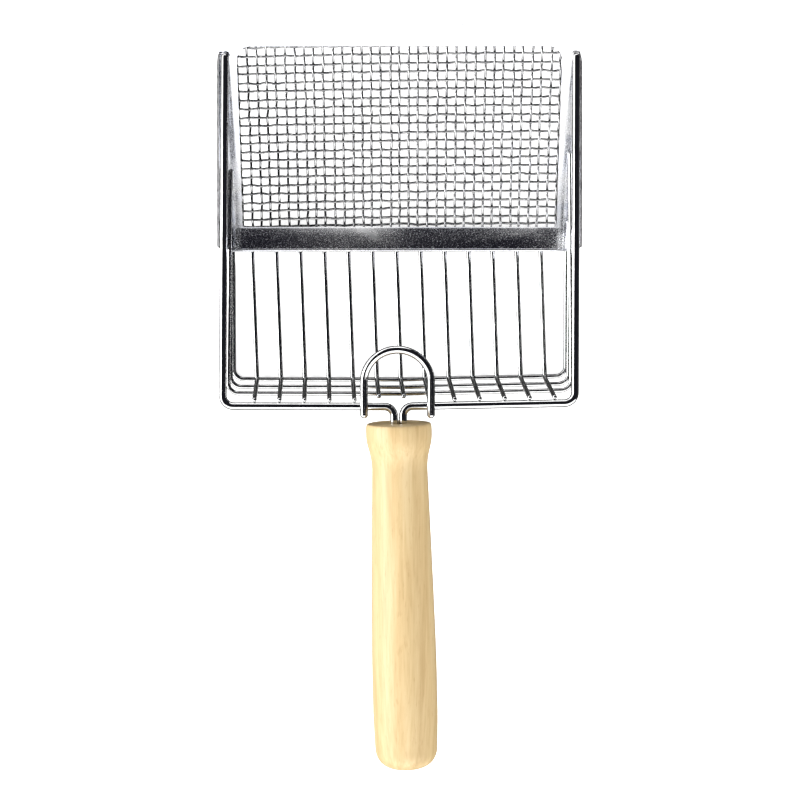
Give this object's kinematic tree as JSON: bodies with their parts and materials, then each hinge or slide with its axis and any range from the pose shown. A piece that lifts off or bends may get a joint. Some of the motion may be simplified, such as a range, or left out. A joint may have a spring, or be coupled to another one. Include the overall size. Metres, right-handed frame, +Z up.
{
  "type": "wire sifting scoop",
  "caption": "Shallow wire scoop with a sheet-metal ramp over a woven wire screen, a heavy wire rim with a loop, and a turned wooden handle.",
  "frame": {"origin": "bottom centre of the scoop's overall box, on the surface it stands on", "axes": "+Y towards the leading edge of the tray, -Y towards the handle's butt, +X the right-hand side seen from above with the handle towards the user, +Z up"},
  "size_m": [0.1364, 0.2801, 0.0409],
  "materials": {
    "rim_wire": "bright nickel-chrome plating",
    "basket_wire": "bright plating",
    "mesh_wire": "galvanised woven wire",
    "tray_sheet": "bright tinplate",
    "handle_wood": "smooth clear-varnished beech"
  },
  "bodies": {
    "root": {"left_rim_wire": "rim_wire", "right_rim_wire": "rim_wire", "rim_loop": "rim_wire", "upper_side_wire": "basket_wire", "middle_side_wire": "basket_wire", "ground_side_wire": "basket_wire", "floor_wire_01": "basket_wire", "floor_wire_02": "basket_wire", "floor_wire_03": "basket_wire", "floor_wire_04": "basket_wire", "floor_wire_05": "basket_wire", "floor_wire_06": "basket_wire", "floor_wire_07": "basket_wire", "floor_wire_08": "basket_wire", "floor_wire_09": "basket_wire", "floor_wire_10": "basket_wire", "floor_wire_11": "basket_wire", "floor_wire_12": "basket_wire", "floor_wire_13": "basket_wire", "front_tray": "tray_sheet", "mesh_long_wires": "mesh_wire", "mesh_cross_wires": "mesh_wire", "handle": "handle_wood"}
  },
  "joints": []
}
